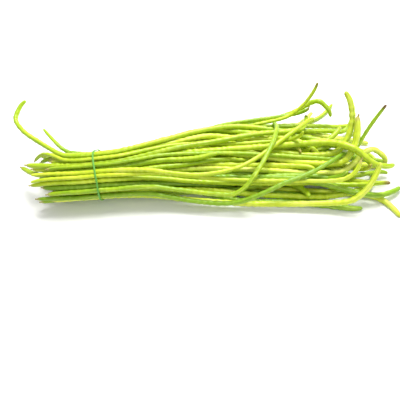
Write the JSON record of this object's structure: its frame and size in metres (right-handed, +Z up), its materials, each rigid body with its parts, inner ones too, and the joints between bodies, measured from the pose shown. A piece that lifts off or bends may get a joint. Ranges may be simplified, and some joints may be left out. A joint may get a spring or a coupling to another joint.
{
  "type": "yardlong bean bunch",
  "caption": "Bunch of long slender bean pods held near the stalk ends by a thin elastic band, with the tips fanned out and curling, lying on its side.",
  "frame": {"origin": "on the surface the bunch lies on, under the middle of its outline", "axes": "+Z up from the surface; +X along the bunch from the tied stalk ends towards the fanned tips; +Y across it, to the back of the bunch as pictured"},
  "size_m": [0.5524, 0.2286, 0.1045],
  "materials": {
    "pod_skin": "fresh waxy bean skin, satin, light yellow-green",
    "elastic": "matt green elastic band"
  },
  "bodies": {
    "root": {"pod_01": "pod_skin", "pod_02": "pod_skin", "pod_03": "pod_skin", "pod_04": "pod_skin", "pod_05": "pod_skin", "pod_06": "pod_skin", "pod_07": "pod_skin", "pod_08": "pod_skin", "pod_09": "pod_skin", "pod_10": "pod_skin", "pod_11": "pod_skin", "pod_12": "pod_skin", "pod_13": "pod_skin", "pod_14": "pod_skin", "pod_15": "pod_skin", "pod_16": "pod_skin", "pod_17": "pod_skin", "pod_18": "pod_skin", "pod_19": "pod_skin", "pod_20": "pod_skin", "pod_21": "pod_skin", "pod_22": "pod_skin", "pod_23": "pod_skin", "pod_24": "pod_skin", "pod_25": "pod_skin", "pod_26": "pod_skin", "pod_27": "pod_skin", "pod_28": "pod_skin", "pod_29": "pod_skin", "pod_30": "pod_skin", "pod_31": "pod_skin", "pod_32": "pod_skin", "pod_33": "pod_skin", "pod_34": "pod_skin", "pod_35": "pod_skin", "pod_36": "pod_skin", "pod_37": "pod_skin", "pod_38": "pod_skin", "pod_39": "pod_skin", "pod_40": "pod_skin", "pod_41": "pod_skin", "pod_42": "pod_skin", "pod_43": "pod_skin", "pod_arc_back": "pod_skin", "pod_arch_left": "pod_skin", "pod_bent_end": "pod_skin", "pod_cross_high": "pod_skin", "pod_cross_low": "pod_skin", "pod_cross_middle": "pod_skin", "pod_curl_left": "pod_skin", "pod_edge_right": "pod_skin", "pod_hook_front": "pod_skin", "pod_long_stalk": "pod_skin", "pod_loop_right": "pod_skin", "pod_spear_back": "pod_skin", "pod_spear_far": "pod_skin", "pod_spear_middle": "pod_skin", "pod_thick_up": "pod_skin", "pod_thin_left": "pod_skin", "rubber_band": "elastic"}
  },
  "joints": []
}
